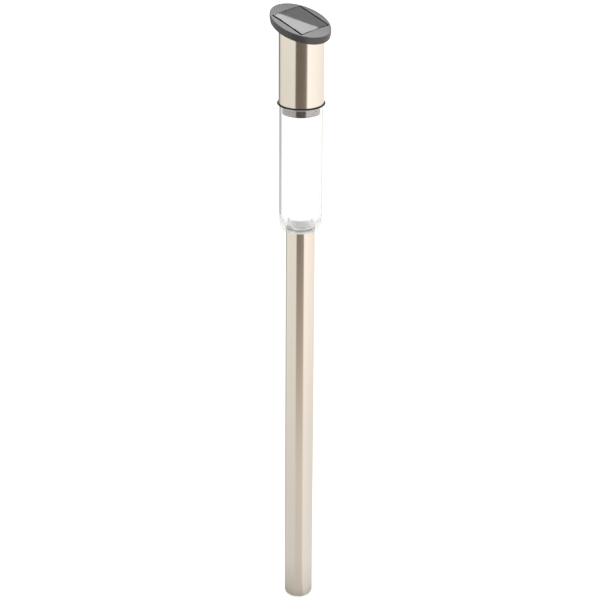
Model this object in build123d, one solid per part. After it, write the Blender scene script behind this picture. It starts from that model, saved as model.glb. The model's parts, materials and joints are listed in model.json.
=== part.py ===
"""Solar garden light: a steel pole, a clear lens tube and a lift-off solar head.

Row frame, in millimetres: +Z runs up the pole, the origin is at the centre of the pole's lower end, and the
solar cap slopes down towards -Y. From the ground up, the pole carries a spike socket and a coupler, the lens
pushes onto the coupler, a rubber gasket lies on the lens, and the head plugs into the lens through it.
Every function below makes one sub-part, and each sub-part is written to its own STEP file.
"""

from build123d import *
from math import cos, radians, sin, tan
import os

# ---------------------------------------------------------------- driving dimensions
POLE_R = 16.0
POLE_WALL = 0.8
POLE_TOP_Z = 462.2
POLE_END_ROUND = 5.0  # the lower end is rolled inwards with this outer radius

LENS_R = 23.3
LENS_WALL = 2.4
LENS_BOTTOM_Z = 465.0  # the coupler's flange lies between the pole and the lens
LENS_TOP_Z = 606.0
LENS_FLOOR = 2.2

SLEEVE_R = 24.15
SLEEVE_WALL = 0.7

CAP_R = 33.7
CAP_THICKNESS = 7.6
CAP_SLOPE = 20.3  # degrees between the cap and the horizontal
CAP_CENTRE_Z = 696.0  # where the pole's axis crosses the plane of the cap's rim
CAP_UPSLOPE = 1.7  # how far the cap's own centre lies up the slope from the pole's axis

PANEL_WIDTH = 44.0  # across the slope, along X
PANEL_LENGTH = 40.4  # down the slope

SPIKE_BORE_R = 9.0
SPIKE_BORE_DEPTH = 40.0

# ---------------------------------------------------------------- fits
SLIP = 0.1  # radial gap between parts that push together
SCREW_SLIP = 0.02  # radial gap between a screw and its own hole
SEAL_PLAY = 0.05  # gap above and below the soft ring
EASE = 0.4  # small rounding on moulded edges

# ---------------------------------------------------------------- pole
POLE_INNER_R = POLE_R - POLE_WALL
POLE_MOUTH_R = POLE_R - POLE_END_ROUND

# ---------------------------------------------------------------- spike socket
SOCKET_BODY_Z = 6.0
SOCKET_TOP_Z = SPIKE_BORE_DEPTH + 6.0

# ---------------------------------------------------------------- coupler
COUPLER_R = 14.0
COUPLER_WALL = 1.8
COUPLER_RISE = 12.5
COUPLER_PLUG_DEPTH = 38.0
COUPLER_TOP_ROUND = 0.8
COUPLER_RIB_COUNT = 6
COUPLER_RIB_WIDTH = 1.2

# ---------------------------------------------------------------- gasket and head floor
GASKET_R = 25.8
GASKET_THICKNESS = 1.0
GASKET_INNER_R = 21.0
FLANGE_Z = LENS_TOP_Z + GASKET_THICKNESS
FLANGE_THICKNESS = 0.55
FLANGE_R = SLEEVE_R + 0.3
SLEEVE_BOTTOM_Z = FLANGE_Z + FLANGE_THICKNESS

# ---------------------------------------------------------------- chassis, the plastic cup inside the head
CHASSIS_R = SLEEVE_R - SLEEVE_WALL - SLIP
CHASSIS_WALL = 1.5
CHASSIS_FLOOR = 2.2
CHASSIS_TOP_Z = 655.0
NOZZLE_R = 19.0
NOZZLE_INNER_R = 17.6
NOZZLE_BOTTOM_Z = 596.2
PLATE_Z = 600.0
PLATE_THICKNESS = 1.6
PLATE_TOP_Z = PLATE_Z + PLATE_THICKNESS

COLLAR_R = 20.2
COLLAR_TOP_Z = 603.9
COLLAR_GROOVE_COUNT = 3
COLLAR_GROOVE_PITCH = 2.1
COLLAR_GROOVE_DEPTH = 0.4
COLLAR_GROOVE_HEIGHT = 0.8

# ---------------------------------------------------------------- battery, an AAA cell that stands upright
CELL_R = 5.25
CELL_LENGTH = 44.5
CELL_BOTTOM_Z = 606.0
CELL_Y = 10.5
CELL_NUB_R = 1.9
CELL_NUB_HEIGHT = 0.8
CHAMBER_INNER_R = 5.7
CHAMBER_R = 6.9
CHAMBER_TOP_Z = 653.5
BATTERY_CAP_R = 6.4
BATTERY_CAP_BOTTOM_Z = 597.6
BATTERY_STEM_R = CHAMBER_INNER_R - SLIP
BATTERY_STEM_TOP_Z = 602.2
COIN_SLOT = (9.0, 1.4, 0.8)
CONTACT_THICKNESS = 0.3
SPRING_WIRE_R = 0.25
SPRING_TURNS = 3
SPRING_R = 3.5
SPRING_END_GAP = 0.05

# ---------------------------------------------------------------- lamp and electronics
LED_Y = -4.0
LED_R = 2.5
LED_FLANGE_R = 2.9
LED_FLANGE_HEIGHT = 1.0
LED_TIP_Z = 596.4
LED_HOLE_R = LED_R + SLIP
LED_LEAD_R = 0.25
LED_LEAD_PITCH = 2.54
REFLECTOR_R = NOZZLE_INNER_R - SLIP
REFLECTOR_THICKNESS = 1.0
REFLECTOR_CUP_R = 5.8
REFLECTOR_CUP_DROP = 2.0

BOARD_SIZE = (18.0, 16.0, 1.2)
BOARD_Y = -7.0
BOARD_Z = 606.0
BOARD_TOP_Z = BOARD_Z + BOARD_SIZE[2]
BOARD_SCREW_AT = ((-7.2, -1.2), (7.2, -12.6))
BOARD_BOSS_R = 1.7
BOARD_SCREW_R = 0.8
BOARD_HEAD_R = 1.5
BOARD_HEAD_HEIGHT = 1.0
BOARD_SCREW_LENGTH = 4.0
CHIP_SIZE = (5.0, 4.0)
CHIP_HEIGHT = 1.6
CHIP_Y = -9.5
COIL_R = 2.4
COIL_HEIGHT = 4.5
COIL_AT = (5.2, -4.0)
CAPACITOR_SIZE = (1.6, 2.6, 1.2)
CAPACITOR_X = 4.4

SWITCH_Y = -13.2
SWITCH_BODY = (8.4, 3.4, 3.6)
SWITCH_TRAVEL = 2.5
KNOB_SIZE = (2.0, 1.7)
KNOB_TOP_Z = 603.3
KNOB_BOTTOM_Z = 598.0
KNOB_SLOT = (5.4, 2.1)

# ---------------------------------------------------------------- screws that clamp the cap to the chassis
COLUMN_AT = ((-13.4, 0.5), (13.4, 0.5))
COLUMN_R = 3.1
COLUMN_TOP_Z = 640.0
CAP_SCREW_R = 1.3
CAP_SCREW_HEAD_R = 2.3
CAP_SCREW_HEAD_HEIGHT = 1.6
DRIVE_SLOT = (2.6, 0.6)
DRIVE_DEPTH = 0.9
CAP_SCREW_SEAT_Z = 626.0
CAP_SCREW_TIP_Z = 652.0
COUNTERBORE_R = 2.5

# ---------------------------------------------------------------- cap
BEZEL_THICKNESS = 4.0
PARTING_GAP = 0.25
BASE_INSET = 0.7  # the lower shell of the cap is this much smaller than the bezel
POCKET_EDGE_ROUND = 0.4
POCKET_CORNER_ROUND = 0.8
BEZEL_RIM_ROUND = 0.9
BASE_EDGE_ROUND = 0.6
CAP_DOME_RISE = 0.8
CAP_SPIGOT_R = CHASSIS_R
CAP_SPIGOT_BOTTOM_Z = 658.0
BEZEL_SNAP_R = 28.5
BEZEL_SNAP_WALL = 1.2
BEZEL_SNAP_DEPTH = 1.6
POCKET_SIDE_GAP = 2.0
POCKET_HIGH_GAP = 0.1
POCKET_LOW_GAP = 0.5
POCKET_FLOOR = -2.6
PANEL_PAD = (30.0, 28.0, 0.6)
PANEL_BOARD_THICKNESS = 1.0
PANEL_TOP = 0.35
CELL_STRIPS = 4
CELL_STRIP_GAP = 0.8
CELL_MARGIN = 1.6
CELL_THICKNESS = 0.3
WIRE_HOLE_R = 3.6
WIRE_Y = 3.2

WIRE_R = 0.6


# ---------------------------------------------------------------- small helpers
STANDING = (Align.CENTER, Align.CENTER, Align.MIN)  # a solid that stands on its own origin


def rod(radius, low_z, high_z, x=0.0, y=0.0):
    """An upright cylinder between two heights."""
    return Pos(x, y, low_z) * Cylinder(radius, high_z - low_z, align=STANDING)


def ring(outer, inner, low_z, high_z, x=0.0, y=0.0):
    """An upright tube between two heights."""
    return rod(outer, low_z, high_z, x, y) - rod(inner, low_z - 1, high_z + 1, x, y)


def block(size_x, size_y, low_z, high_z, x=0.0, y=0.0):
    """An upright box between two heights."""
    return Pos(x, y, low_z) * Box(size_x, size_y, high_z - low_z, align=STANDING)


def on_cap(shape):
    """Carries a shape from the cap's own frame, where Z is the cap's normal, to the row frame."""
    return Pos(0, 0, CAP_CENTRE_Z) * Rot(X=CAP_SLOPE) * Pos(0, CAP_UPSLOPE, 0) * shape


def below_cap(depth):
    """Everything under the plane that lies this far beneath the cap's rim plane."""
    reach = 200.0
    slab = Box(reach, reach, reach, align=(Align.CENTER, Align.CENTER, Align.MAX))
    return on_cap(Pos(0, 0, -depth) * slab)


def turned(edges):
    """A closed outline in the XZ plane, turned about the pole's axis."""
    return revolve(make_face(edges), Axis.Z, 360)


def wire_through(points, bend):
    """A round wire of straight runs and arcs."""
    route = FilletPolyline(*points, radius=bend)
    return sweep(route.location_at(0) * Circle(WIRE_R), path=route)


# ---------------------------------------------------------------- pole and what is in it
def pole_tube():
    """Steel tube, with its lower end rolled inwards round the spike socket."""
    centre_x = POLE_MOUTH_R
    slant = sin(radians(45))
    inner_round = POLE_END_ROUND - POLE_WALL
    outer_mid = (centre_x + POLE_END_ROUND * slant, 0, POLE_END_ROUND * (1 - slant))
    inner_mid = (centre_x + inner_round * slant, 0, POLE_END_ROUND - inner_round * slant)
    return turned(
        [
            Line((POLE_R, 0, POLE_TOP_Z), (POLE_R, 0, POLE_END_ROUND)),
            ThreePointArc((POLE_R, 0, POLE_END_ROUND), outer_mid, (centre_x, 0, 0)),
            Line((centre_x, 0, 0), (centre_x, 0, POLE_WALL)),
            ThreePointArc((centre_x, 0, POLE_WALL), inner_mid, (POLE_INNER_R, 0, POLE_END_ROUND)),
            Line((POLE_INNER_R, 0, POLE_END_ROUND), (POLE_INNER_R, 0, POLE_TOP_Z)),
            Line((POLE_INNER_R, 0, POLE_TOP_Z), (POLE_R, 0, POLE_TOP_Z)),
        ]
    )


def spike_socket():
    """Moulded plug in the pole's lower end, with the blind hole for a ground spike's shank."""
    nose = rod(POLE_MOUTH_R - SLIP, 0, SOCKET_BODY_Z)
    body = rod(POLE_INNER_R - SLIP, SOCKET_BODY_Z, SOCKET_TOP_Z)
    groove = ring(POLE_INNER_R + 1, POLE_INNER_R - 1.2, 16, 36)
    return nose + body - groove - rod(SPIKE_BORE_R, -1, SPIKE_BORE_DEPTH)


def pole_coupler():
    """White moulded plug: ribs grip inside the pole, a flange lies on it, and a spigot carries the lens."""
    plug_bottom = POLE_TOP_Z - COUPLER_PLUG_DEPTH
    top = LENS_BOTTOM_Z + COUPLER_RISE
    shell = rod(COUPLER_R, plug_bottom, top)
    shell -= rod(COUPLER_R - COUPLER_WALL, plug_bottom - 1, top - COUPLER_WALL)
    shell = fillet(shell.edges().filter_by(GeomType.CIRCLE).sort_by(Axis.Z)[-1], COUPLER_TOP_ROUND)
    shell += ring(POLE_R, COUPLER_R - COUPLER_WALL / 2, POLE_TOP_Z, LENS_BOTTOM_Z)
    rib_reach = POLE_INNER_R - SLIP
    rib_band = ring(rib_reach, COUPLER_R - COUPLER_WALL / 2, plug_bottom, POLE_TOP_Z)
    ribs = [Rot(Z=360 / COUPLER_RIB_COUNT * i) * (Pos(COUPLER_R, 0, 0) * block(
        4.0, COUPLER_RIB_WIDTH, plug_bottom, POLE_TOP_Z)) & rib_band for i in range(COUPLER_RIB_COUNT)]
    for rib in ribs:
        shell += rib
    return shell


# ---------------------------------------------------------------- lens
def lens_tube():
    """Clear moulded cup: a thick round foot with the hole for the coupler, open at the top."""
    inner = LENS_R - LENS_WALL
    bottom, floor_top = LENS_BOTTOM_Z, LENS_BOTTOM_Z + LENS_FLOOR
    hole = COUPLER_R + SLIP
    outside, inside = 1.5, 6.0  # corner radii
    slant = sin(radians(45))
    outer_mid = (LENS_R - outside * (1 - slant), 0, bottom + outside * (1 - slant))
    inner_mid = (inner - inside * (1 - slant), 0, floor_top + inside * (1 - slant))
    return turned(
        [
            Line((hole, 0, bottom), (LENS_R - outside, 0, bottom)),
            ThreePointArc((LENS_R - outside, 0, bottom), outer_mid, (LENS_R, 0, bottom + outside)),
            Line((LENS_R, 0, bottom + outside), (LENS_R, 0, LENS_TOP_Z)),
            Line((LENS_R, 0, LENS_TOP_Z), (inner, 0, LENS_TOP_Z)),
            Line((inner, 0, LENS_TOP_Z), (inner, 0, floor_top + inside)),
            ThreePointArc((inner, 0, floor_top + inside), inner_mid, (inner - inside, 0, floor_top)),
            Line((inner - inside, 0, floor_top), (hole, 0, floor_top)),
            Line((hole, 0, floor_top), (hole, 0, bottom)),
        ]
    )


def rim_gasket():
    """Black rubber ring on the lens's top edge. It stays there when the head lifts."""
    gasket = ring(GASKET_R, GASKET_INNER_R, LENS_TOP_Z, FLANGE_Z)
    outer_edges = [e for e in gasket.edges().filter_by(GeomType.CIRCLE) if e.radius > GASKET_R - 0.1]
    return fillet(outer_edges, GASKET_THICKNESS * 0.4)


# ---------------------------------------------------------------- head: sleeve and chassis
def head_sleeve():
    """Steel sleeve, square at the bottom and cut on the cap's slope at the top."""
    tube = ring(SLEEVE_R, SLEEVE_R - SLEEVE_WALL, SLEEVE_BOTTOM_Z, CAP_CENTRE_Z + SLEEVE_R)
    return tube & below_cap(CAP_THICKNESS)


def head_chassis():
    """Black moulded cup: nozzle, base plate, battery chamber, screw columns and board bosses."""
    wall_inner = CHASSIS_R - CHASSIS_WALL
    shape = ring(CHASSIS_R, wall_inner, SLEEVE_BOTTOM_Z, CHASSIS_TOP_Z)
    shape += ring(FLANGE_R, NOZZLE_INNER_R, FLANGE_Z, SLEEVE_BOTTOM_Z)
    shape += ring(CHASSIS_R, NOZZLE_INNER_R, SLEEVE_BOTTOM_Z, FLANGE_Z + CHASSIS_FLOOR)
    shape += ring(NOZZLE_R, NOZZLE_INNER_R, NOZZLE_BOTTOM_Z, FLANGE_Z)
    shape += rod(NOZZLE_INNER_R, PLATE_Z, PLATE_TOP_Z)
    shape += rod(CHAMBER_R, PLATE_Z, CHAMBER_TOP_Z, 0, CELL_Y)
    for x, y in COLUMN_AT:
        shape += rod(COLUMN_R, PLATE_Z, COLUMN_TOP_Z, x, y)
    for x, y in BOARD_SCREW_AT:
        shape += rod(BOARD_BOSS_R, PLATE_Z, BOARD_Z, x, y)
        shape -= rod(BOARD_SCREW_R + SCREW_SLIP, BOARD_TOP_Z - BOARD_SCREW_LENGTH - 0.2, BOARD_Z + 1, x, y)
    cell_top = CELL_BOTTOM_Z + CELL_LENGTH
    shape -= rod(CHAMBER_INNER_R, PLATE_Z - 1, cell_top + CONTACT_THICKNESS, 0, CELL_Y)
    shape -= rod(1.0, cell_top, CHAMBER_TOP_Z + 1, 0, CELL_Y)
    for x, y in COLUMN_AT:
        shape -= rod(COUNTERBORE_R, PLATE_Z - 1, CAP_SCREW_SEAT_Z, x, y)
        shape -= rod(CAP_SCREW_R + SLIP, CAP_SCREW_SEAT_Z - 1, COLUMN_TOP_Z + 1, x, y)
    shape -= rod(LED_HOLE_R, PLATE_Z - 1, PLATE_TOP_Z + 1, 0, LED_Y)
    shape -= block(*KNOB_SLOT, PLATE_Z - 1, PLATE_TOP_Z + 1, 0, SWITCH_Y)
    return shape


def chrome_collar():
    """Bright ring on the nozzle, with a row of fine grooves round it."""
    collar = ring(COLLAR_R, NOZZLE_R + SLIP / 2, NOZZLE_BOTTOM_Z, COLLAR_TOP_Z)
    for i in range(COLLAR_GROOVE_COUNT):
        z = NOZZLE_BOTTOM_Z + COLLAR_GROOVE_PITCH * (i + 0.5)
        collar -= ring(COLLAR_R + 1, COLLAR_R - COLLAR_GROOVE_DEPTH, z, z + COLLAR_GROOVE_HEIGHT)
    return collar


def bore_seal():
    """Soft clear ring above the collar, which grips the lens's bore."""
    outer = LENS_R - LENS_WALL - SLIP
    return ring(outer, NOZZLE_R + SLIP / 2, COLLAR_TOP_Z + SEAL_PLAY, FLANGE_Z - SEAL_PLAY)


def cap_screws():
    """Two long screws that clamp the cap, the sleeve and the chassis together."""
    screws = []
    for x, y in COLUMN_AT:
        head_low = CAP_SCREW_SEAT_Z - CAP_SCREW_HEAD_HEIGHT
        head = rod(CAP_SCREW_HEAD_R, head_low, CAP_SCREW_SEAT_Z, x, y)
        slots = block(*DRIVE_SLOT, head_low - 1, head_low + DRIVE_DEPTH, x, y)
        slots += block(*reversed(DRIVE_SLOT), head_low - 1, head_low + DRIVE_DEPTH, x, y)
        screws.append(head + rod(CAP_SCREW_R, CAP_SCREW_SEAT_Z, CAP_SCREW_TIP_Z, x, y) - slots)
    return Compound(children=screws)


# ---------------------------------------------------------------- head: battery
def battery_cap():
    """Round plug under the cell, turned with a coin to take it out."""
    head = rod(BATTERY_CAP_R, BATTERY_CAP_BOTTOM_Z, PLATE_Z - REFLECTOR_THICKNESS, 0, CELL_Y)
    stem = rod(BATTERY_STEM_R, PLATE_Z - REFLECTOR_THICKNESS, BATTERY_STEM_TOP_Z, 0, CELL_Y)
    slot_x, slot_y, slot_depth = COIN_SLOT
    slot_top = BATTERY_CAP_BOTTOM_Z + slot_depth
    return head + stem - block(slot_x, slot_y, BATTERY_CAP_BOTTOM_Z - 1, slot_top, 0, CELL_Y)


def battery_spring():
    """Coiled contact spring between the cap and the cell."""
    low = BATTERY_STEM_TOP_Z + SPRING_WIRE_R + SPRING_END_GAP
    high = CELL_BOTTOM_Z - SPRING_WIRE_R - SPRING_END_GAP
    height = high - low
    coil = Helix(pitch=height / SPRING_TURNS, height=height, radius=SPRING_R)
    start = Plane(origin=coil @ 0, z_dir=coil % 0)
    return Pos(0, CELL_Y, low) * sweep(start * Circle(SPRING_WIRE_R), path=coil, is_frenet=True)


def battery_cell():
    """The cell's wrapped body."""
    body = rod(CELL_R, CELL_BOTTOM_Z, CELL_BOTTOM_Z + CELL_LENGTH - CELL_NUB_HEIGHT, 0, CELL_Y)
    return chamfer(body.edges().filter_by(GeomType.CIRCLE), EASE)


def battery_nub():
    """The cell's positive end."""
    top = CELL_BOTTOM_Z + CELL_LENGTH
    return rod(CELL_NUB_R, top - CELL_NUB_HEIGHT, top, 0, CELL_Y)


def positive_contact():
    """Sprung leaf at the closed end of the chamber, with a tag through the chamber's roof."""
    top = CELL_BOTTOM_Z + CELL_LENGTH
    leaf = rod(CHAMBER_INNER_R - 0.7, top, top + CONTACT_THICKNESS, 0, CELL_Y)
    return leaf + rod(0.9, top, CHAMBER_TOP_Z + 0.6, 0, CELL_Y)


# ---------------------------------------------------------------- head: lamp, board and switch
def reflector_disc():
    """Bright disc under the base plate, dished round the lamp."""
    disc = rod(REFLECTOR_R, PLATE_Z - REFLECTOR_THICKNESS, PLATE_Z)
    cup_height = REFLECTOR_CUP_DROP
    low = PLATE_Z - REFLECTOR_THICKNESS - cup_height
    cup = Pos(0, LED_Y, low) * Cone(
        REFLECTOR_CUP_R, LED_R + 1.0, cup_height, align=STANDING)
    hollow = Pos(0, LED_Y, low) * Cone(
        REFLECTOR_CUP_R - 0.6, LED_HOLE_R, cup_height, align=STANDING)
    disc = disc + cup - hollow
    disc -= rod(LED_HOLE_R, low - 1, PLATE_Z + 1, 0, LED_Y)
    disc -= rod(CHAMBER_INNER_R, low - 1, PLATE_Z + 1, 0, CELL_Y)
    disc -= block(*KNOB_SLOT, low - 1, PLATE_Z + 1, 0, SWITCH_Y)
    for x, y in COLUMN_AT:
        disc -= rod(COUNTERBORE_R, low - 1, PLATE_Z + 1, x, y)
    return disc


def led_body():
    """Round-nosed lamp that points down into the lens."""
    flange = rod(LED_FLANGE_R, PLATE_TOP_Z, PLATE_TOP_Z + LED_FLANGE_HEIGHT, 0, LED_Y)
    barrel = rod(LED_R, LED_TIP_Z + LED_R, PLATE_TOP_Z, 0, LED_Y)
    nose = Pos(0, LED_Y, LED_TIP_Z + LED_R) * Sphere(LED_R)
    return flange + barrel + nose


def led_leads():
    """Two leads from the lamp up to the board."""
    top_of_flange = PLATE_TOP_Z + LED_FLANGE_HEIGHT
    return Compound(children=[rod(LED_LEAD_R, top_of_flange, BOARD_Z, x, LED_Y)
                              for x in (-LED_LEAD_PITCH / 2, LED_LEAD_PITCH / 2)])


def circuit_board():
    """Small controller board on two bosses."""
    board = block(BOARD_SIZE[0], BOARD_SIZE[1], BOARD_Z, BOARD_TOP_Z, 0, BOARD_Y)
    board &= rod(NOZZLE_INNER_R - 0.4, BOARD_Z - 1, BOARD_TOP_Z + 1)
    for x, y in BOARD_SCREW_AT:
        board -= rod(BOARD_SCREW_R + SLIP, BOARD_Z - 1, BOARD_TOP_Z + 1, x, y)
    return board


def controller_chip():
    """Chip that charges the cell by day and lights the lamp by night."""
    return block(*CHIP_SIZE, BOARD_TOP_Z, BOARD_TOP_Z + CHIP_HEIGHT, 0, CHIP_Y)


def charge_coil():
    """Wound coil that lifts the cell's voltage for the lamp."""
    core = rod(COIL_R, BOARD_TOP_Z, BOARD_TOP_Z + COIL_HEIGHT, *COIL_AT)
    waist = ring(COIL_R + 1, COIL_R - 0.5, BOARD_TOP_Z + 0.8, BOARD_TOP_Z + COIL_HEIGHT - 0.8, *COIL_AT)
    return core - waist


def board_capacitors():
    """Two chip capacitors, one on each side of the controller chip."""
    size_x, size_y, height = CAPACITOR_SIZE
    return Compound(children=[block(size_x, size_y, BOARD_TOP_Z, BOARD_TOP_Z + height, x, CHIP_Y)
                              for x in (-CAPACITOR_X, CAPACITOR_X)])


def board_screws():
    """Two screws that hold the board."""
    screws = []
    for x, y in BOARD_SCREW_AT:
        shank = rod(BOARD_SCREW_R, BOARD_TOP_Z - BOARD_SCREW_LENGTH, BOARD_TOP_Z, x, y)
        screws.append(shank + rod(BOARD_HEAD_R, BOARD_TOP_Z, BOARD_TOP_Z + BOARD_HEAD_HEIGHT, x, y))
    return Compound(children=screws)


def switch_body():
    """Slide switch under the board, with the cavity that its knob runs in."""
    low = BOARD_Z - SWITCH_BODY[2]
    body = block(SWITCH_BODY[0], SWITCH_BODY[1], low, BOARD_Z, 0, SWITCH_Y)
    return body - block(*KNOB_SLOT, low - 1, KNOB_TOP_Z + 0.2, 0, SWITCH_Y)


def switch_knob():
    """The knob that the user slides through the base plate. It rests at the off end."""
    return block(*KNOB_SIZE, KNOB_BOTTOM_Z, KNOB_TOP_Z, -SWITCH_TRAVEL / 2, SWITCH_Y)


# ---------------------------------------------------------------- cap
def upright_disc(radius, top, bottom):
    """A disc of the cap between two levels of the cap's frame, whose wall is parallel to the pole."""
    slope = radians(CAP_SLOPE)
    face = Pos(0, top * tan(slope), top) * Circle(radius)
    return extrude(face, amount=(top - bottom) / cos(slope), dir=(0, -sin(slope), -cos(slope)))


def edges_inside(shape, size_x, size_y, low_z):
    """Edges that lie above a height and no further out than a rectangle about the middle."""
    found = []
    for edge in shape.edges():
        box = edge.bounding_box()
        reach_x = max(-box.min.X, box.max.X)
        reach_y = max(-box.min.Y, box.max.Y)
        if box.min.Z > low_z and reach_x < size_x / 2 + 0.01 and reach_y < size_y / 2 + 0.01:
            found.append(edge)
    return found


def cap_bezel():
    """Domed round bezel, with the pocket that the panel lies in. The pocket is wider than the panel."""
    ball = (CAP_R**2 + CAP_DOME_RISE**2) / (2 * CAP_DOME_RISE)
    dome = Cylinder(CAP_R, CAP_DOME_RISE + 1, align=STANDING) & Pos(0, 0, CAP_DOME_RISE - ball) * Sphere(ball)
    blank = upright_disc(CAP_R, 0, -BEZEL_THICKNESS) + dome
    circles = blank.edges().filter_by(GeomType.CIRCLE)
    rim = [edge for edge in circles if abs(edge.center().Z) < 0.1]
    blank = fillet(rim, BEZEL_RIM_ROUND)
    pocket_x = PANEL_WIDTH + 2 * POCKET_SIDE_GAP
    pocket_y = PANEL_LENGTH + POCKET_LOW_GAP + POCKET_HIGH_GAP
    pocket = Pos(0, (POCKET_HIGH_GAP - POCKET_LOW_GAP) / 2, POCKET_FLOOR) * Box(
        pocket_x, pocket_y, 10, align=STANDING)
    blank -= fillet(pocket.edges().filter_by(Axis.Z), POCKET_CORNER_ROUND)
    reach_y = PANEL_LENGTH + 2 * max(POCKET_LOW_GAP, POCKET_HIGH_GAP)
    blank = fillet(edges_inside(blank, pocket_x, reach_y, 0), POCKET_EDGE_ROUND)
    blank -= Cylinder(WIRE_HOLE_R, 20)
    snap = Pos(0, 0, -BEZEL_THICKNESS - BEZEL_SNAP_DEPTH) * (
        Cylinder(BEZEL_SNAP_R, BEZEL_SNAP_DEPTH, align=STANDING)
        - Cylinder(BEZEL_SNAP_R - BEZEL_SNAP_WALL, 20))
    return on_cap(blank + snap)


def cap_base():
    """Lower half of the cap: tray, spigot inside the sleeve, and the posts for the clamping screws."""
    top = -BEZEL_THICKNESS - PARTING_GAP
    tray = upright_disc(CAP_R - BASE_INSET, top, -CAP_THICKNESS)
    bottom_edge = tray.edges().filter_by(GeomType.CIRCLE).sort_by(Axis.Z)[0]
    tray = fillet(bottom_edge, BASE_EDGE_ROUND)
    groove = Pos(0, 0, -BEZEL_THICKNESS - BEZEL_SNAP_DEPTH - SLIP) * (
        Cylinder(BEZEL_SNAP_R + SLIP, 10, align=STANDING)
        - Cylinder(BEZEL_SNAP_R - BEZEL_SNAP_WALL - SLIP, 30))
    shape = on_cap(tray - groove)
    ceiling = below_cap(CAP_THICKNESS - 0.4)
    spigot = ring(CAP_SPIGOT_R, CAP_SPIGOT_R - 1.4, CAP_SPIGOT_BOTTOM_Z, CAP_CENTRE_Z + SLEEVE_R) & ceiling
    shape += spigot
    for x, y in COLUMN_AT:
        shape += rod(COLUMN_R, COLUMN_TOP_Z, CAP_CENTRE_Z + SLEEVE_R, x, y) & ceiling
        shape -= rod(CAP_SCREW_R + SCREW_SLIP, COLUMN_TOP_Z - 1, CAP_SCREW_TIP_Z + 0.5, x, y)
    return shape - on_cap(Cylinder(WIRE_HOLE_R, 30))


def panel_pad():
    """Foam tape between the pocket and the panel, open in the middle for the wires."""
    size_x, size_y, thickness = PANEL_PAD
    pad = Pos(0, 0, POCKET_FLOOR) * Box(size_x, size_y, thickness, align=STANDING)
    return on_cap(pad - Cylinder(WIRE_HOLE_R + 1, 20))


def panel_levels():
    """Heights of the board's underside, the board's face and the cell strips' faces, in the cap's frame."""
    under = POCKET_FLOOR + PANEL_PAD[2]
    face = under + PANEL_BOARD_THICKNESS
    return under, face, face + CELL_THICKNESS


def panel_board():
    """The panel's carrier board."""
    under, face, _ = panel_levels()
    return on_cap(Pos(0, 0, under) * Box(
        PANEL_WIDTH, PANEL_LENGTH, face - under, align=STANDING))


def cell_strips():
    """The silicon strips, in the cap's frame, side by side across the slope."""
    _, face, cell_face = panel_levels()
    pitch = (PANEL_WIDTH - 2 * CELL_MARGIN + CELL_STRIP_GAP) / CELL_STRIPS
    strips = []
    for i in range(CELL_STRIPS):
        x = (i - (CELL_STRIPS - 1) / 2) * pitch
        strips.append(Pos(x, 0, face) * Box(
            pitch - CELL_STRIP_GAP, PANEL_LENGTH - 2 * CELL_MARGIN, cell_face - face,
            align=STANDING))
    return strips


def panel_cells():
    """Four separate silicon strips on the board."""
    return Compound(children=[on_cap(strip) for strip in cell_strips()])


def panel_cover():
    """Clear cast resin over the strips and the board."""
    _, face, _ = panel_levels()
    cover = Pos(0, 0, face) * Box(
        PANEL_WIDTH, PANEL_LENGTH, PANEL_TOP - face, align=STANDING)
    top_edges = cover.edges().group_by(Axis.Z)[-1]
    cover = chamfer(top_edges, 0.25)
    for strip in cell_strips():
        cover -= strip
    return on_cap(cover)


# ---------------------------------------------------------------- wires inside the head
def panel_wires(side):
    """One panel lead, from under the panel's board down to the controller board."""
    x = side * 1.4
    under, _, _ = panel_levels()
    start_z = CAP_CENTRE_Z + under / cos(radians(CAP_SLOPE)) + (WIRE_Y - 2 * WIRE_R) * tan(radians(CAP_SLOPE))
    points = [
        (x, WIRE_Y, start_z),
        (x, WIRE_Y, 676),
        (x * 2.2, -6, 655),
        (x * 1.6, -3.5, 628),
        (x * 1.6, -6.4, 616),
        (x * 1.6, -6.4, BOARD_TOP_Z),
    ]
    return wire_through(points, 5.0)


def battery_wire():
    """Lead from the battery's upper contact down to the controller board."""
    points = [
        (0, CELL_Y, CHAMBER_TOP_Z + 0.6),
        (0, CELL_Y, CHAMBER_TOP_Z + 8),
        (-7.5, 1.5, CHAMBER_TOP_Z + 8),
        (-7.5, -4.5, 630),
        (-7.5, -4.5, BOARD_TOP_Z),
    ]
    return wire_through(points, 3.4)


# ---------------------------------------------------------------- write every sub-part
def parts():
    """Name and shape of every sub-part."""
    return {
        "pole_tube": pole_tube(),
        "spike_socket": spike_socket(),
        "pole_coupler": pole_coupler(),
        "lens_tube": lens_tube(),
        "rim_gasket": rim_gasket(),
        "head_sleeve": head_sleeve(),
        "head_chassis": head_chassis(),
        "chrome_collar": chrome_collar(),
        "bore_seal": bore_seal(),
        "cap_screws": cap_screws(),
        "battery_cap": battery_cap(),
        "battery_spring": battery_spring(),
        "battery_cell": battery_cell(),
        "battery_nub": battery_nub(),
        "positive_contact": positive_contact(),
        "reflector_disc": reflector_disc(),
        "led_body": led_body(),
        "led_leads": led_leads(),
        "circuit_board": circuit_board(),
        "controller_chip": controller_chip(),
        "charge_coil": charge_coil(),
        "board_capacitors": board_capacitors(),
        "board_screws": board_screws(),
        "switch_body": switch_body(),
        "switch_knob": switch_knob(),
        "cap_bezel": cap_bezel(),
        "cap_base": cap_base(),
        "panel_pad": panel_pad(),
        "panel_board": panel_board(),
        "panel_cells": panel_cells(),
        "panel_cover": panel_cover(),
        "panel_wire_positive": panel_wires(1),
        "panel_wire_negative": panel_wires(-1),
        "battery_wire": battery_wire(),
    }


os.makedirs("parts", exist_ok=True)
for name, shape in parts().items():
    export_step(shape, f"parts/{name}.step")
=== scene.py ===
"""Looks for the solar garden light: materials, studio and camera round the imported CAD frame.

Everything is in metres, in the row frame: +Z up the pole, -Y the way the solar cap slopes down.
"""

import json
from math import atan2, cos, pi, radians, sin

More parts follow.
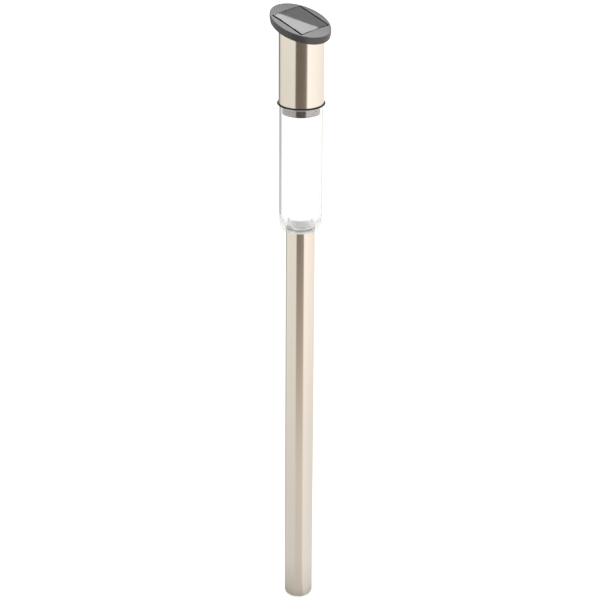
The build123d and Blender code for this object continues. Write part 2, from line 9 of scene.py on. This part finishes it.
import bmesh
import bpy
from mathutils import Euler, Matrix, Vector


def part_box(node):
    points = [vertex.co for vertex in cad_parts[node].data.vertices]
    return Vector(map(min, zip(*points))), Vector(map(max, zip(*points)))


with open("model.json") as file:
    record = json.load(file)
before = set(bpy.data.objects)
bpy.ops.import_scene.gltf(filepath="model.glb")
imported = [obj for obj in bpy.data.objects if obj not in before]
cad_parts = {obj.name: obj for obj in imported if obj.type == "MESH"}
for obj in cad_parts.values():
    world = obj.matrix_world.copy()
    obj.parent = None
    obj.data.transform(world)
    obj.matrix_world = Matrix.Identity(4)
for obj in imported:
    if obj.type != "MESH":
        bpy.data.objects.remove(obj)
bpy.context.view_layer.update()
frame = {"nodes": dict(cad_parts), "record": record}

# ---------------------------------------------------------------- driving values
CAMERA_AZIMUTH = radians(-52.6)  # 0 looks along +Y
CAMERA_PITCH = radians(24.0)  # down from the horizontal
CAMERA_DISTANCE = 2.004  # from the pole's axis, along the ground
CAMERA_HEIGHT = 1.2695
CAMERA_ROLL = radians(0.36)
CAMERA_LENS = 118.7
CAMERA_SENSOR = 36.0

FLOOR_RADIUS = 14.0
FLOOR_SEGMENTS = 96
FLOOR_GLOW = 0.35  # the floor glows a little, so it reads as plain white and shadows stay faint

CAP_SLOPE = radians(20.3)
CAP_NORMAL = Vector((0, -sin(CAP_SLOPE), cos(CAP_SLOPE)))
CAP_UPHILL = Vector((0, cos(CAP_SLOPE), sin(CAP_SLOPE)))
POCKET_REACH = 0.0318  # every corner of the panel's pocket lies this near the cap's middle
POCKET_DEPTH = 0.0001  # plastic further under the panel's middle than this is inside the pocket, and is painted near black as shade
MOULDED_GRAIN = 0.00002

FOOT_ALPHA = 0.4  # the lens is partly transparent at its foot, which softens the edges seen there
FOOT_FADE = 0.05  # height over which that ends
CLEAR_SHADOW = 0.15  # how dark a shadow the clear tube casts
CLEAR_EDGE_SHADE = 0.62  # painted shade: tone of the tube's outline, where its wall is seen edge-on

SURROUND_NEAR = 0.0135  # radius of the hole in the boards, under the pole
SURROUND_FAR = 5.0
SURROUND_HEIGHT = 3.2
SURROUND_LIFT = 0.0005  # the boards lie this far above the floor
SURROUND_CORNER = 0.6  # radius between the boards on the floor and the wall
SURROUND_STEPS = 144
CORNER_STEPS = 8
WORLD_STRENGTH = 1.06

BOARD_REACH = 4.6  # the last tone of a board goes on beyond this distance
# tones of the boards, as (distance from the pole, tone) pairs
LEFT_TONES = (
    (0.0165, 0.1), (0.0185, 0.5), (0.09, 0.72), (0.48, 0.80), (1.16, 0.91), (2.2, 0.77), (3.4, 1.25),
)
GAP_TONES = (
    (0.0165, 0.1), (0.0185, 0.54), (0.1, 0.65), (0.34, 0.66), (0.65, 0.46), (1.1, 0.22), (2.2, 0.13),
)
RIGHT_TONES = (
    (0.0165, 0.2), (0.0185, 0.72), (0.09, 0.89), (0.48, 0.95), (0.84, 1.10), (1.16, 1.14), (2.2, 1.22),
)
LEFT_TINT = (1.0, 0.995, 0.955)
GAP_TINT = (1.16, 0.97, 0.82)
RIGHT_TINT = (1.035, 0.995, 0.965)
# where the gap and the right board take over, as (degrees round from the camera, share) pairs
GAP_TURN = ((-33, 0.0), (-27, 1.0))
RIGHT_TURN = ((-8, 0.0), (14, 0.03), (26, 0.11), (32, 1.0))
# the boards grow darker round the back, as (degrees round from the camera, factor) pairs
BACK_TONES = (
    (-180, 0.15), (-150, 0.2), (-125, 1.0), (32, 1.03), (80, 0.93), (109, 0.87), (160, 0.75), (180, 0.5),
)
BACK_DEPTH = ((0.0, 0.45), (2.2, 1.0), (2.6, 1.0), (3.4, 0.0))  # (distance from the pole, share of it)
BACK_THROUGH_LENS = 0.5  # share of it that is left for a ray that has come through the lens

SOFTBOX_DISTANCE = 1.6
SOFTBOX_WIDTH = 1.5
SOFTBOX_HEIGHT = 0.8
# where its reflected edge meets the panel's high and low sides, as shares of the panel's half width
SOFTBOX_AT_HIGH_SIDE = -0.63
SOFTBOX_AT_LOW_SIDE = 0.32
SOFTBOX_RADIANCE = 4.6

GLOW_POWER = 0.4
GLOW_REACH = 0.0145  # radius of the lit patch
GLOW_SIZE = 0.004
GLOW_DROP = 0.002  # from the lamp's lower end


# ---------------------------------------------------------------- node helpers
class Shader:
    """A material with a Principled shader, and short calls that add nodes to it."""

    def __init__(self, name):
        self.material = bpy.data.materials.new(name)
        self.material.use_nodes = True
        self.tree = self.material.node_tree
        self.main = self.tree.nodes["Principled BSDF"]
        self.coords = self.tree.nodes.new("ShaderNodeTexCoord").outputs["Object"]

    def set(self, **values):
        """Sets sockets of the Principled shader: base_color means "Base Color"."""
        for key, value in values.items():
            self.main.inputs[SOCKETS[key]].default_value = value

    def node(self, kind, **values):
        """Adds a node and sets its properties."""
        made = self.tree.nodes.new(kind)
        for key, value in values.items():
            setattr(made, key, value)
        return made

    def link(self, source, target):
        self.tree.links.new(source, target)

    def stretched(self, x, y, z):
        """Object coordinates in metres, scaled along each axis."""
        mapping = self.node("ShaderNodeMapping")
        mapping.inputs["Scale"].default_value = (x, y, z)
        self.link(self.coords, mapping.inputs["Vector"])
        return mapping.outputs["Vector"]

    def noise(self, vector, detail):
        """Noise of 0 to 1 over a vector."""
        noise = self.node("ShaderNodeTexNoise")
        noise.inputs["Scale"].default_value = 1.0
        noise.inputs["Detail"].default_value = detail
        self.link(vector, noise.inputs["Vector"])
        return noise.outputs["Fac"]

    def ramp(self, factor, *stops):
        """A colour ramp from (place, value) stops. A value is a number or a colour."""
        ramp = self.node("ShaderNodeValToRGB")
        elements = ramp.color_ramp.elements
        while len(elements) < len(stops):
            elements.new(0.5)
        for element, (place, value) in zip(elements, stops):
            element.position = place
            rgb = value if hasattr(value, "__len__") else (value, value, value)
            element.color = colour(*rgb)
        self.link(factor, ramp.inputs["Fac"])
        return ramp.outputs["Color"]

    def spread(self, factor, low, high):
        """A factor of 0 to 1 carried to low to high."""
        spread = self.node("ShaderNodeMapRange")
        spread.inputs["To Min"].default_value = low
        spread.inputs["To Max"].default_value = high
        self.link(factor, spread.inputs["Value"])
        return spread.outputs["Result"]

    def math(self, operation, first, second):
        """One Math node. Each side is a socket or a number."""
        node = self.node("ShaderNodeMath", operation=operation)
        for place, value in enumerate((first, second)):
            if isinstance(value, (int, float)):
                node.inputs[place].default_value = value
            else:
                self.link(value, node.inputs[place])
        return node.outputs[0]

    def mix(self, factor, first, second, blend="MIX"):
        """Mixes two colours. Each is a socket or a colour."""
        node = self.node("ShaderNodeMix", data_type="RGBA", blend_type=blend)
        if isinstance(factor, (int, float)):
            node.inputs["Factor"].default_value = factor
        else:
            self.link(factor, node.inputs["Factor"])
        for place, value in ((6, first), (7, second)):
            if hasattr(value, "__len__"):
                node.inputs[place].default_value = colour(*value)
            else:
                self.link(value, node.inputs[place])
        return node.outputs[2]

    def length(self, x, y):
        """The length of (x, y)."""
        squares = self.math("ADD", self.math("MULTIPLY", x, x), self.math("MULTIPLY", y, y))
        return self.math("SQRT", squares, 0.0)

    def dot(self, vector):
        """Object coordinates measured along a vector."""
        node = self.node("ShaderNodeVectorMath", operation="DOT_PRODUCT")
        node.inputs[1].default_value = vector
        self.link(self.coords, node.inputs[0])
        return node.outputs["Value"]

    def show(self, shader):
        """Shows another shader in place of the Principled one."""
        self.link(shader, self.tree.nodes["Material Output"].inputs["Surface"])
        self.tree.nodes.remove(self.main)

    def bump(self, height, distance):
        """Bumps the surface by a height of 0 to 1 times distance."""
        bump = self.node("ShaderNodeBump")
        bump.inputs["Distance"].default_value = distance
        bump.inputs["Strength"].default_value = 1.0
        self.link(height, bump.inputs["Height"])
        self.link(bump.outputs["Normal"], self.main.inputs["Normal"])

    def to(self, **sockets):
        """Links sockets to the Principled shader's inputs."""
        for key, source in sockets.items():
            self.link(source, self.main.inputs[SOCKETS[key]])


SOCKETS = {
    "base_color": "Base Color",
    "metallic": "Metallic",
    "roughness": "Roughness",
    "ior": "IOR",
    "specular": "Specular IOR Level",
    "transmission": "Transmission Weight",
    "anisotropic": "Anisotropic",
    "rotation": "Anisotropic Rotation",
    "tangent": "Tangent",
    "alpha": "Alpha",
    "emission": "Emission Color",
    "emission_strength": "Emission Strength",
}


def colour(*rgb):
    """An opaque colour."""
    return (*rgb, 1.0)


# ---------------------------------------------------------------- materials
def tube_steel():
    """Stainless tube, polished in a lathe: very fine rings, and faint streaks from the drawing die."""
    s = Shader("tube_steel")
    rings = s.noise(s.stretched(6, 6, 2600), detail=2.0)
    streaks = s.noise(s.stretched(420, 420, 2.2), detail=4.0)
    clouds = s.noise(s.stretched(18, 18, 9), detail=3.0)
    streaked = s.mix(streaks, (0.80, 0.735, 0.645), (0.90, 0.835, 0.745))
    s.to(base_color=s.mix(s.spread(clouds, 0.25, 0.75), streaked, (0.86, 0.79, 0.70)))
    worn = s.math("ADD", s.spread(rings, 0.10, 0.20), s.spread(clouds, -0.02, 0.04))
    s.to(roughness=worn)
    s.set(metallic=1.0, anisotropic=0.7, rotation=0.25)
    tangent = s.node("ShaderNodeTangent", direction_type="RADIAL", axis="Z")
    s.to(tangent=tangent.outputs["Tangent"])
    s.bump(rings, 0.000004)
    return s.material


def clear_plastic():
    """Clear moulded tube with faint drawing waves along its length, and painted shade darkening its outline.
    """
    s = Shader("clear_plastic")
    waves = s.noise(s.stretched(160, 160, 1.5), detail=2.0)
    haze = s.noise(s.stretched(60, 60, 60), detail=3.0)
    s.to(roughness=s.spread(haze, 0.0, 0.03))
    # painted shade: the base colour darkens where the wall is seen edge-on, standing in for the dark edges of
    # the clear tube
    facing = s.node("ShaderNodeLayerWeight").outputs["Facing"]
    edge = s.ramp(facing, (0.62, 1.0), (0.85, CLEAR_EDGE_SHADE))
    plastic = s.mix(waves, (0.996, 0.998, 0.998), (1.0, 1.0, 1.0))
    s.to(base_color=s.mix(1.0, edge, plastic, blend="MULTIPLY"))
    s.set(transmission=1.0, ior=1.49)
    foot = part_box("lens_tube")[0].z
    height = s.math("SUBTRACT", s.dot((0, 0, 1)), foot)
    body = s.ramp(s.math("DIVIDE", height, FOOT_FADE), (0.1, FOOT_ALPHA), (0.4, 1.0))
    shadow = s.node("ShaderNodeLightPath").outputs["Is Shadow Ray"]
    s.to(alpha=s.math("MULTIPLY", body, s.spread(shadow, 1.0, CLEAR_SHADOW)))
    s.bump(waves, 0.00004)
    return s.material


def moulded(name, base, rough):
    """Moulded plastic: fine spark grain, a little tone variation, and slightly uneven gloss."""
    s = Shader(name)
    cloud = s.noise(s.stretched(40, 40, 40), detail=4.0)
    fine = s.noise(s.stretched(2400, 2400, 2400), detail=2.0)
    s.to(base_color=s.mix(cloud, tuple(c * 0.75 for c in base), tuple(c * 1.25 for c in base)))
    s.to(roughness=s.spread(fine, rough - 0.07, rough + 0.07))
    s.bump(fine, MOULDED_GRAIN)
    return s.material


def cap_plastic():
    """Satin charcoal plastic, with painted shade: near black and dull inside the pocket that the panel lies
    in.
    """
    s = Shader("charcoal_plastic")
    cloud = s.noise(s.stretched(40, 40, 40), detail=4.0)
    fine = s.noise(s.stretched(2400, 2400, 2400), detail=2.0)
    skin = s.mix(cloud, (0.036, 0.034, 0.035), (0.056, 0.054, 0.055))
    low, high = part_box("panel_cover")
    centre = (low + high) / 2
    height = s.math("SUBTRACT", s.dot(CAP_NORMAL), centre.dot(CAP_NORMAL))
    across = s.dot((1, 0, 0))
    along = s.math("SUBTRACT", s.dot(CAP_UPHILL), centre.dot(CAP_UPHILL))
    reach = s.length(across, along)
    sunk = s.math("LESS_THAN", height, -POCKET_DEPTH)
    pocket_shade = s.math("MULTIPLY", sunk, s.math("LESS_THAN", reach, POCKET_REACH))
    # painted shade: the pocket's plastic is coloured near black and loses most of its gloss, so the gaps
    # beside the panel read as deep shadow
    s.to(base_color=s.mix(pocket_shade, skin, (0.004, 0.004, 0.004)))
    s.to(specular=s.spread(pocket_shade, 0.5, 0.05))
    s.to(roughness=s.spread(fine, 0.22, 0.32))
    s.bump(fine, MOULDED_GRAIN)
    return s.material


def white_plastic():
    """Smooth pearl plastic, with painted light: the coupler's flange and top are coloured whiter than its
    sides.
    """
    s = Shader("white_plastic")
    pearl = s.noise(s.stretched(120, 120, 120), detail=4.0)
    low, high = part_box("pole_tube")[1].z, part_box("pole_coupler")[1].z
    flange = (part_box("lens_tube")[0].z - low) / (high - low)
    height = s.math("DIVIDE", s.math("SUBTRACT", s.dot((0, 0, 1)), low), high - low)
    side = s.mix(pearl, (0.53, 0.53, 0.525), (0.60, 0.60, 0.595))
    flange_stops = ((0.0, 0.0), (0.01, 1.0), (flange, 1.0), (flange + 0.01, 0.0))
    # painted light: the flange and the top get a whiter colour than the sides, standing in for the light that
    # falls on them
    painted_light_share = s.ramp(height, *flange_stops, (0.985, 0.0), (1.0, 1.0))
    s.to(base_color=s.mix(painted_light_share, side, (0.86, 0.86, 0.855)))
    s.to(roughness=s.spread(pearl, 0.16, 0.26))
    s.set(specular=0.9)
    s.bump(pearl, 0.00001)
    return s.material


def rubber(name, base):
    """Soft rubber: dull, with a fine dusty bloom."""
    s = Shader(name)
    dust = s.noise(s.stretched(300, 300, 300), detail=5.0)
    s.to(base_color=s.mix(dust, base, tuple(c * 1.6 + 0.01 for c in base)))
    s.to(roughness=s.spread(dust, 0.6, 0.85))
    s.bump(dust, 0.00003)
    return s.material


def turned_metal(name, base, rough):
    """Bright turned metal, with fine tool rings round the vertical axis."""
    s = Shader(name)
    rings = s.noise(s.stretched(4, 4, 1800), detail=2.0)
    marks = s.noise(s.stretched(90, 90, 90), detail=3.0)
    s.to(base_color=s.mix(marks, tuple(c * 0.94 for c in base), base))
    s.to(roughness=s.spread(rings, rough, rough + 0.12))
    s.set(metallic=1.0)
    s.bump(rings, 0.000006)
    return s.material


def plated(name, base, rough):
    """Plated small metal parts, with slightly clouded plating."""
    s = Shader(name)
    cloud = s.noise(s.stretched(600, 600, 600), detail=4.0)
    s.to(base_color=s.mix(cloud, tuple(c * 0.85 for c in base), base))
    s.to(roughness=s.spread(cloud, rough, rough + 0.15))
    s.set(metallic=1.0)
    return s.material


def glossy(name, base, rough=0.25):
    """Lacquered or extruded glossy plastic, with small tone changes."""
    s = Shader(name)
    cloud = s.noise(s.stretched(250, 250, 250), detail=4.0)
    s.to(base_color=s.mix(cloud, tuple(c * 0.8 for c in base), tuple(min(1.0, c * 1.15) for c in base)))
    s.to(roughness=s.spread(cloud, rough - 0.05, rough + 0.08))
    s.bump(cloud, 0.00001)
    return s.material


def silicon():
    """Dark silicon with fine silver fingers across it."""
    s = Shader("silicon")
    crystal = s.noise(s.stretched(220, 60, 60), detail=3.0)
    base = s.mix(crystal, (0.035, 0.038, 0.042), (0.055, 0.058, 0.062))
    wave = s.node("ShaderNodeTexWave", wave_type="BANDS", bands_direction="Y", wave_profile="SIN")
    wave.inputs["Scale"].default_value = 1.0
    s.link(s.stretched(0, 210, 0), wave.inputs["Vector"])
    finger = s.ramp(wave.outputs["Fac"], (0.90, 0.0), (0.97, 1.0))
    s.to(base_color=s.mix(finger, base, (0.26, 0.27, 0.27)))
    s.to(roughness=s.spread(crystal, 0.35, 0.5))
    s.set(specular=0.1)
    return s.material


def clear_resin():
    """Cast resin over the cells: clear and glossy, very slightly orange-peeled."""
    s = Shader("clear_resin")
    peel = s.noise(s.stretched(140, 140, 140), detail=2.0)
    s.to(base_color=s.mix(peel, (0.60, 0.62, 0.62), (0.66, 0.68, 0.68)))
    s.to(roughness=s.spread(peel, 0.005, 0.02))
    s.set(transmission=1.0, ior=1.52)
    s.bump(peel, 0.000003)
    return s.material


def lamp_resin():
    """Clear, faintly yellow lamp body."""
    s = Shader("lamp_resin")
    cloud = s.noise(s.stretched(500, 500, 500), detail=2.0)
    s.to(base_color=s.mix(cloud, (0.95, 0.93, 0.82), (0.98, 0.97, 0.9)))
    s.to(roughness=s.spread(cloud, 0.02, 0.08))
    s.set(transmission=0.7, ior=1.53)
    return s.material


def make_materials():
    """One material for each slot of the record."""
    return {
        "tube_steel": tube_steel(),
        "clear_plastic": clear_plastic(),
        "charcoal_plastic": cap_plastic(),
        "black_plastic": moulded("black_plastic", (0.016, 0.015, 0.016), 0.42),
        "white_plastic": white_plastic(),
        "black_rubber": rubber("black_rubber", (0.012, 0.01, 0.012)),
        "clear_rubber": rubber("clear_rubber", (0.6, 0.61, 0.61)),
        "bright_metal": turned_metal("bright_metal", (0.43, 0.43, 0.44), 0.06),
        "screw_steel": plated("screw_steel", (0.62, 0.62, 0.64), 0.3),
        "contact_metal": plated("contact_metal", (0.76, 0.74, 0.68), 0.22),
        "cell_wrap": glossy("cell_wrap", (0.05, 0.22, 0.10)),
        "board_green": glossy("board_green", (0.02, 0.16, 0.06)),
        "copper_wire": plated("copper_wire", (0.72, 0.36, 0.18), 0.3),
        "chip_black": moulded("chip_black", (0.014, 0.014, 0.015), 0.5),
        "ceramic_tan": moulded("ceramic_tan", (0.42, 0.29, 0.17), 0.4),
        "silicon": silicon(),
        "panel_backing": glossy("panel_backing", (0.03, 0.033, 0.035), 0.35),
        "clear_resin": clear_resin(),
        "foam": rubber("foam", (0.02, 0.02, 0.02)),
        "lamp_resin": lamp_resin(),
        "red_wire": glossy("red_wire", (0.42, 0.012, 0.012)),
        "black_wire": glossy("black_wire", (0.014, 0.014, 0.014)),
    }


def dress_frame(materials):
    """Gives each CAD node the material of its slot in the record."""
    for part in frame["record"]["subparts"]:
        mesh = frame["nodes"][part["node"]].data
        mesh.materials.clear()
        mesh.materials.append(materials[part["material_slot"]])


# ---------------------------------------------------------------- studio
def stage_mesh(name, material):
    """An empty mesh object that belongs to the studio, and its bmesh."""
    thing = bpy.data.objects.new(name, bpy.data.meshes.new(name))
    bpy.context.scene.collection.objects.link(thing)
    thing.data.materials.append(material)
    return thing, bmesh.new()


def hide_from(thing, *rays):
    """Hides a studio piece from some kinds of ray."""
    for ray in rays:
        setattr(thing, "visible_" + ray, False)


def floor_material():
    """Matt white board."""
    s = Shader("white_board")
    paper = s.noise(s.stretched(30, 30, 30), detail=5.0)
    s.to(base_color=s.mix(paper, (0.95, 0.95, 0.95), (0.97, 0.97, 0.97)))
    s.to(roughness=s.spread(paper, 0.85, 1.0))
    s.set(emission=colour(1.0, 1.0, 1.0), emission_strength=FLOOR_GLOW)
    return s.material


def make_floor():
    """Wide round floor under the pole's lower end."""
    floor, mesh = stage_mesh("floor", floor_material())
    bmesh.ops.create_circle(mesh, cap_ends=True, radius=FLOOR_RADIUS, segments=FLOOR_SEGMENTS)
    mesh.to_mesh(floor.data)
    mesh.free()


def surround_material():
    """Toned boards round the light. Only a ray that has been reflected meets them."""
    s = Shader("surround_tones")
    split = s.node("ShaderNodeSeparateXYZ")
    s.link(s.coords, split.inputs["Vector"])
    x, y = split.outputs["X"], split.outputs["Y"]
    # the surround's own -Y faces the camera, so this angle grows from the left of the camera to its right
    turn = s.math("ARCTAN2", x, s.math("MULTIPLY", y, -1.0))
    share = s.math("ADD", s.math("DIVIDE", turn, 2 * pi), 0.5)
    reach = s.math("DIVIDE", s.length(x, y), BOARD_REACH)
    path = s.node("ShaderNodeLightPath")
    glow = s.node("ShaderNodeEmission")
    tone = s.mix(1.0, board_tones(s, share, reach), back_tones(s, share, reach, path), blend="MULTIPLY")
    s.link(tone, glow.inputs["Color"])
    choice = s.node("ShaderNodeMixShader")
    s.link(s.math("GREATER_THAN", path.outputs["Glossy Depth"], 0.5), choice.inputs["Fac"])
    s.link(s.node("ShaderNodeBsdfTransparent").outputs["BSDF"], choice.inputs[1])
    s.link(glow.outputs["Emission"], choice.inputs[2])
    s.show(choice.outputs["Shader"])
    return s.material


def board_tones(s, share, reach):
    """Warm grey boards on the camera's left, white ones on its right, and a dark gap between them."""
    left = s.ramp(reach, *board_stops(LEFT_TONES, LEFT_TINT))
    gap = s.ramp(reach, *board_stops(GAP_TONES, GAP_TINT))
    right = s.ramp(reach, *board_stops(RIGHT_TONES, RIGHT_TINT))
    is_gap = s.ramp(share, *turn_stops(GAP_TURN))
    is_right = s.ramp(share, *turn_stops(RIGHT_TURN))
    return s.mix(is_right, s.mix(is_gap, left, gap), right)


def back_tones(s, share, reach, path):
    """How much darker the boards are round the back."""
    through_lens = s.math("GREATER_THAN", path.outputs["Transmission Depth"], 0.5)
    depth = s.ramp(reach, *((place / BOARD_REACH, value) for place, value in BACK_DEPTH))
    depth = s.math("MULTIPLY", depth, s.spread(through_lens, 1.0, BACK_THROUGH_LENS))
    return s.mix(depth, (1.0, 1.0, 1.0), s.ramp(share, *turn_stops(BACK_TONES)))


def board_stops(tones, tint):
    """Ramp stops from (distance from the pole, tone) pairs of one board, whose tint grows with distance."""
    stops = []
    for reach, tone in tones:
        strength = min(1.0, 0.2 + reach)
        stops.append((reach / BOARD_REACH, tuple(tone * (1 + (part - 1) * strength) for part in tint)))
    return stops


def turn_stops(stops):
    """Ramp stops from (degrees round from the camera, value) pairs."""
    return [((angle + 180) / 360, value) for angle, value in stops]


def make_surround():
    """A bowl of boards round the light, seen only in reflections."""
    surround, mesh = stage_mesh("surround", surround_material())
    bend = SURROUND_FAR - SURROUND_CORNER
    profile = [(SURROUND_NEAR, SURROUND_LIFT), (bend, SURROUND_LIFT)]
    for i in range(1, CORNER_STEPS + 1):
        angle = i / CORNER_STEPS * pi / 2
        out, up = sin(angle), 1 - cos(angle)
        profile.append((bend + SURROUND_CORNER * out, SURROUND_LIFT + SURROUND_CORNER * up))
    profile.append((SURROUND_FAR, SURROUND_HEIGHT))
    verts = [mesh.verts.new((r, 0, z)) for r, z in profile]
    edges = [mesh.edges.new(pair) for pair in zip(verts, verts[1:])]
    bmesh.ops.spin(mesh, geom=verts + edges, cent=(0, 0, 0), axis=(0, 0, 1), angle=2 * pi,
                   steps=SURROUND_STEPS, use_merge=True)
    mesh.to_mesh(surround.data)
    mesh.free()
    surround.rotation_euler = Euler((0, 0, CAMERA_AZIMUTH))
    hide_from(surround, "camera", "diffuse", "shadow")


def make_world():
    """Even white light from all round."""
    world = bpy.data.worlds.new("studio")
    world.use_nodes = True
    background = world.node_tree.nodes["Background"]
    background.inputs["Color"].default_value = colour(1.0, 1.0, 1.0)
    background.inputs["Strength"].default_value = WORLD_STRENGTH
    bpy.context.scene.world = world


def make_camera():
    """The camera stands back and above, and looks down at the middle of the light."""
    camera = bpy.data.objects.new("camera", bpy.data.cameras.new("camera"))
    bpy.context.scene.collection.objects.link(camera)
    camera.data.lens = CAMERA_LENS
    camera.data.sensor_width = CAMERA_SENSOR
    place = Matrix.Rotation(CAMERA_AZIMUTH, 4, "Z") @ Matrix.Translation((0, -CAMERA_DISTANCE, CAMERA_HEIGHT))
    tilt = Matrix.Rotation(pi / 2 - CAMERA_PITCH, 4, "X")
    camera.matrix_world = place @ tilt @ Matrix.Rotation(CAMERA_ROLL, 4, "Z")
    bpy.context.scene.camera = camera
    return camera


def cap_point(x, along):
    """A point of the panel: x across the slope, and along it towards the high end."""
    low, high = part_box("panel_cover")
    centre = (low + high) / 2
    return centre + Vector((x, 0, 0)) + CAP_UPHILL * along


def softbox_material():
    """The softbox's cloth, a little uneven."""
    s = Shader("softbox_cloth")
    cloth = s.noise(s.stretched(4, 4, 4), detail=2.0)
    glow = s.node("ShaderNodeEmission")
    s.link(s.spread(cloth, SOFTBOX_RADIANCE * 0.94, SOFTBOX_RADIANCE * 1.06), glow.inputs["Strength"])
    s.show(glow.outputs["Emission"])
    return s.material


def softbox_corners(camera):
    """Corners of a softbox behind the light, whose lower edge the panel reflects from side to side."""
    low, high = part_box("panel_cover")
    half_x = (high.x - low.x) / 2
    half_y = (high.y - low.y) / 2 / cos(CAP_SLOPE)
    eye = camera.matrix_world.translation
    centre = cap_point(0, 0)
    mirrored = eye - 2 * (eye - centre).dot(CAP_NORMAL) * CAP_NORMAL
    reach = (centre - mirrored).length
    stretch = (reach + SOFTBOX_DISTANCE) / reach
    first = cap_point(half_x * SOFTBOX_AT_HIGH_SIDE, half_y)
    second = cap_point(half_x * SOFTBOX_AT_LOW_SIDE, -half_y)
    lit_corner = cap_point(-half_x, -half_y)
    a, b, c = (mirrored + (point - mirrored) * stretch for point in (first, second, lit_corner))
    edge = (b - a).normalized()
    inward = ((c - a) - (c - a).dot(edge) * edge).normalized()
    middle = (a + b) / 2
    half_edge = edge * SOFTBOX_WIDTH / 2
    left, right = middle - half_edge, middle + half_edge
    return left, right, right + inward * SOFTBOX_HEIGHT, left + inward * SOFTBOX_HEIGHT


def make_softbox(camera):
    """A softbox that shows only in reflections."""
    softbox, mesh = stage_mesh("softbox", softbox_material())
    mesh.faces.new([mesh.verts.new(corner) for corner in softbox_corners(camera)])
    mesh.to_mesh(softbox.data)
    mesh.free()
    hide_from(softbox, "camera", "diffuse", "transmission", "shadow")


def make_lamp_glow():
    """A small spot just under the lamp, which brightens the coupler's top."""
    lamp_low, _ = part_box("led_body")
    _, coupler_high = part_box("pole_coupler")
    glow = bpy.data.objects.new("lamp_glow", bpy.data.lights.new("lamp_glow", "SPOT"))
    glow.data.energy = GLOW_POWER
    glow.data.shadow_soft_size = GLOW_SIZE
    glow.data.spot_size = 2 * atan2(GLOW_REACH, lamp_low.z - coupler_high.z)
    glow.data.spot_blend = 0.1
    glow.location = (0, 0, lamp_low.z - GLOW_DROP)
    bpy.context.scene.collection.objects.link(glow)


# ---------------------------------------------------------------- build the scene
bpy.context.scene.view_settings.view_transform = "Standard"
make_world()
make_floor()
make_surround()
make_softbox(make_camera())
make_lamp_glow()
dress_frame(make_materials())
